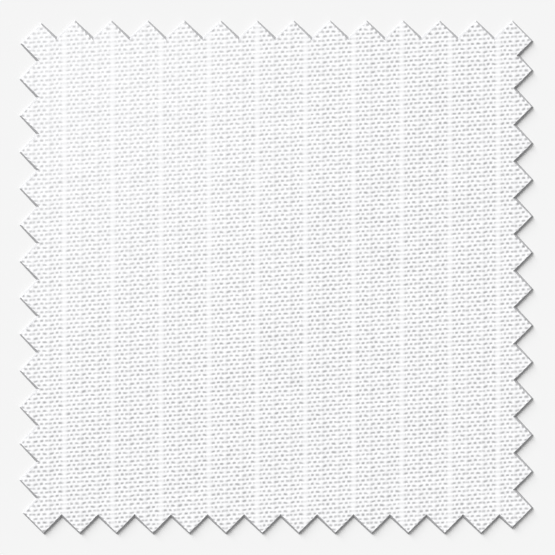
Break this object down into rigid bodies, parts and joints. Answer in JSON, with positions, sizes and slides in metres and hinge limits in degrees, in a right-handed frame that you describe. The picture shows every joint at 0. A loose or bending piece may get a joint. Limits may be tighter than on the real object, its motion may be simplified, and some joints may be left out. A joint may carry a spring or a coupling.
{
  "type": "pinked fabric sample",
  "caption": "Flat square sample of plain-woven vertical blind fabric with corded pinstripes and zigzag pinked edges.",
  "frame": {"origin": "centre of the sample on its flat back, midway between the tips of opposite toothed sides", "axes": "+Z out of the ribbed face, +Y along the warp and its pinstripes, +X across the pinstripes"},
  "size_m": [0.1, 0.1, 0.0005],
  "materials": {
    "woven_polyester": "matt off-white plain weave with brighter corded pinstripes"
  },
  "bodies": {
    "root": {"fabric_sample": "woven_polyester"}
  },
  "joints": []
}
